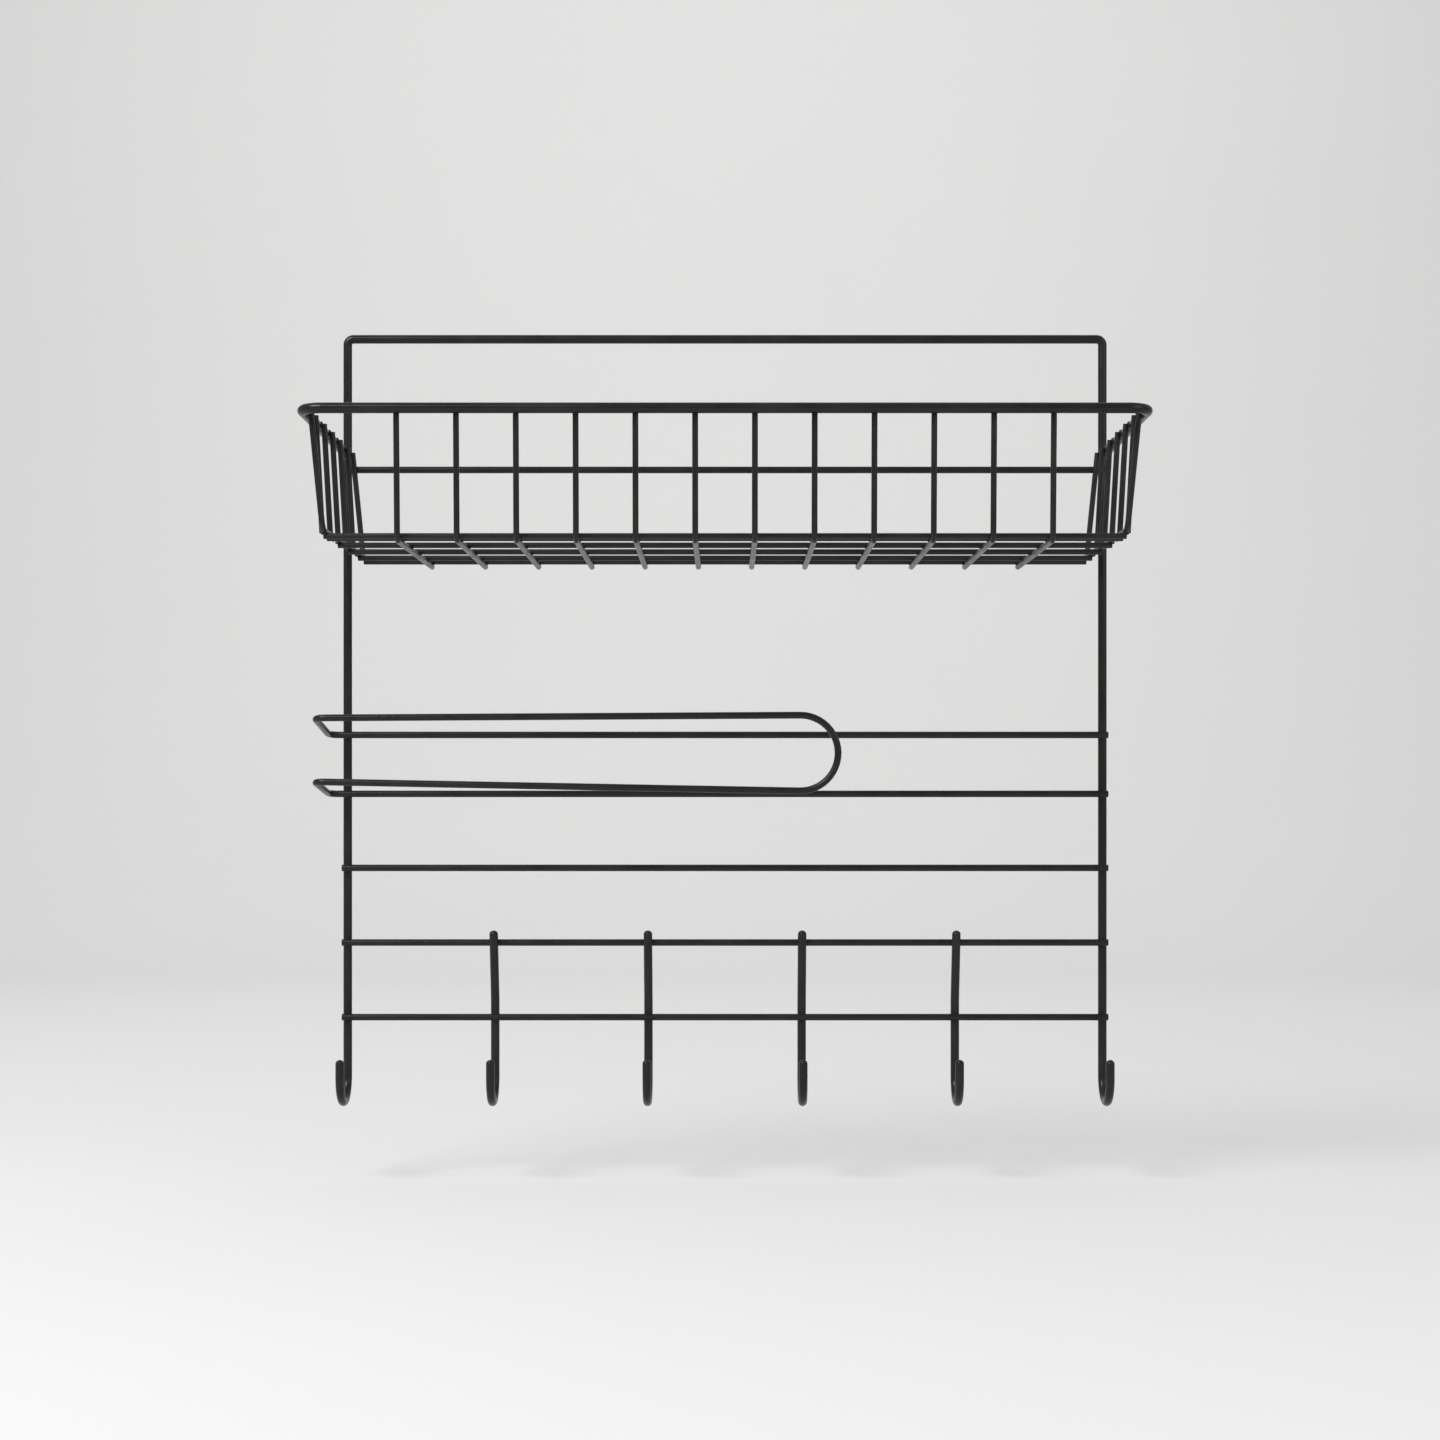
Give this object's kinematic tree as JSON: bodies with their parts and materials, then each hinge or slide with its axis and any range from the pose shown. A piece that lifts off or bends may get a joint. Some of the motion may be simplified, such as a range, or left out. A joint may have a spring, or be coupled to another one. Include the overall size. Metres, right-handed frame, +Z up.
{
  "type": "wall-hung wire kitchen organizer",
  "caption": "Wall-hung kitchen organizer of welded black wire: a basket on top, an open-ended arm for a paper roll below it, and a row of hooks along the bottom.",
  "frame": {"origin": "on the top bar's axis, midway between the uprights", "axes": "+X to the right along the top bar, -Y out of the wall towards the user, +Z up"},
  "size_m": [0.4088, 0.1527, 0.4025],
  "materials": {
    "frame_coat": "satin black powder coat",
    "bar_coat": "satin black powder coat",
    "rim_coat": "satin black powder coat",
    "basket_coat": "satin black powder coat"
  },
  "bodies": {
    "root": {"back_rail": "basket_coat", "basket_bar": "bar_coat", "basket_rim": "rim_coat", "floor_wire_1": "basket_coat", "floor_wire_10": "basket_coat", "floor_wire_11": "basket_coat", "floor_wire_12": "basket_coat", "floor_wire_2": "basket_coat", "floor_wire_3": "basket_coat", "floor_wire_4": "basket_coat", "floor_wire_5": "basket_coat", "floor_wire_6": "basket_coat", "floor_wire_7": "basket_coat", "floor_wire_8": "basket_coat", "floor_wire_9": "basket_coat", "frame_wire": "frame_coat", "front_rail": "basket_coat", "hook_1": "frame_coat", "hook_2": "frame_coat", "hook_3": "frame_coat", "hook_4": "frame_coat", "left_edge_wire": "basket_coat", "left_side_wire_1": "basket_coat", "left_side_wire_2": "basket_coat", "left_side_wire_3": "basket_coat", "left_side_wire_4": "basket_coat", "left_side_wire_5": "basket_coat", "lower_hook_bar": "bar_coat", "middle_bar": "bar_coat", "middle_rail_1": "basket_coat", "middle_rail_2": "basket_coat", "middle_rail_3": "basket_coat", "middle_rail_4": "basket_coat", "paper_roll_holder": "bar_coat", "right_edge_wire": "basket_coat", "right_side_wire_1": "basket_coat", "right_side_wire_2": "basket_coat", "right_side_wire_3": "basket_coat", "right_side_wire_4": "basket_coat", "right_side_wire_5": "basket_coat", "upper_hook_bar": "bar_coat"}
  },
  "joints": []
}
